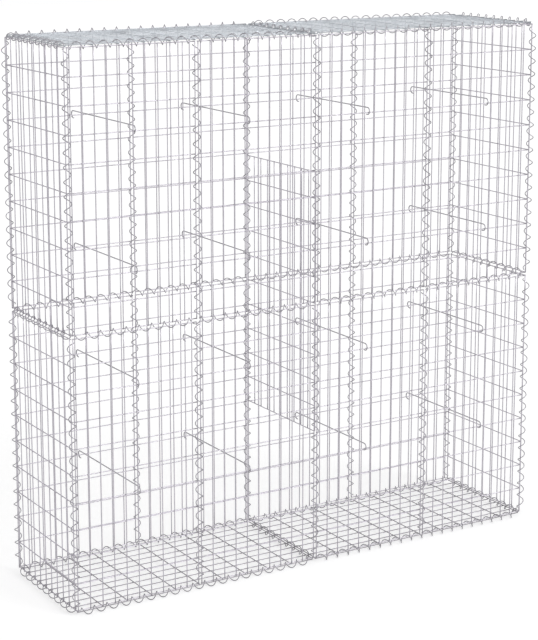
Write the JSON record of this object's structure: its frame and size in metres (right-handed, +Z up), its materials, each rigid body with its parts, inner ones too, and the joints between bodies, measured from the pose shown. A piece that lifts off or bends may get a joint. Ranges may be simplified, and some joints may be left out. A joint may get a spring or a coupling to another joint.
{
  "type": "gabion basket",
  "caption": "Empty welded mesh basket of upright panels on a mesh floor under a mesh lid, bound along its seams with spiral wires and held front to back by hooked rods.",
  "frame": {"origin": "centre of the footprint, at the lowest points of the spirals that it rests on", "axes": "+X along the face to the right, +Y from the front to the back through the depth, +Z up"},
  "size_m": [2.0306, 0.5306, 2.0305],
  "materials": {
    "mesh_wire": "bright galvanised, satin",
    "spiral_wire": "bright galvanised, satin",
    "rod_steel": "bright galvanised, satin"
  },
  "bodies": {
    "root": {"front_lower_1": "mesh_wire", "front_lower_2": "mesh_wire", "front_lower_3": "mesh_wire", "front_lower_4": "mesh_wire", "front_upper_1": "mesh_wire", "front_upper_2": "mesh_wire", "front_upper_3": "mesh_wire", "front_upper_4": "mesh_wire", "back_lower_1": "mesh_wire", "back_lower_2": "mesh_wire", "back_lower_3": "mesh_wire", "back_lower_4": "mesh_wire", "back_upper_1": "mesh_wire", "back_upper_2": "mesh_wire", "back_upper_3": "mesh_wire", "back_upper_4": "mesh_wire", "left_lower": "mesh_wire", "left_upper": "mesh_wire", "right_lower": "mesh_wire", "right_upper": "mesh_wire", "floor_left": "mesh_wire", "floor_right": "mesh_wire", "lid_left": "mesh_wire", "lid_right": "mesh_wire", "divider": "mesh_wire", "front_bottom_spirals": "spiral_wire", "front_waist_spirals": "spiral_wire", "front_lid_spirals": "spiral_wire", "back_bottom_spirals": "spiral_wire", "back_waist_spirals": "spiral_wire", "back_lid_spirals": "spiral_wire", "side_bottom_spirals": "spiral_wire", "side_waist_spirals": "spiral_wire", "side_lid_spirals": "spiral_wire", "floor_seam_spiral": "spiral_wire", "lid_seam_spiral": "spiral_wire", "front_left_corner_spirals": "spiral_wire", "front_right_corner_spirals": "spiral_wire", "back_left_corner_spirals": "spiral_wire", "back_right_corner_spirals": "spiral_wire", "front_joint_spirals_1": "spiral_wire", "front_joint_spirals_2": "spiral_wire", "front_joint_spirals_3": "spiral_wire", "back_joint_spirals_1": "spiral_wire", "back_joint_spirals_2": "spiral_wire", "back_joint_spirals_3": "spiral_wire", "tie_rods_1": "rod_steel", "tie_rods_2": "rod_steel", "tie_rods_3": "rod_steel", "tie_rods_4": "rod_steel"}
  },
  "joints": []
}
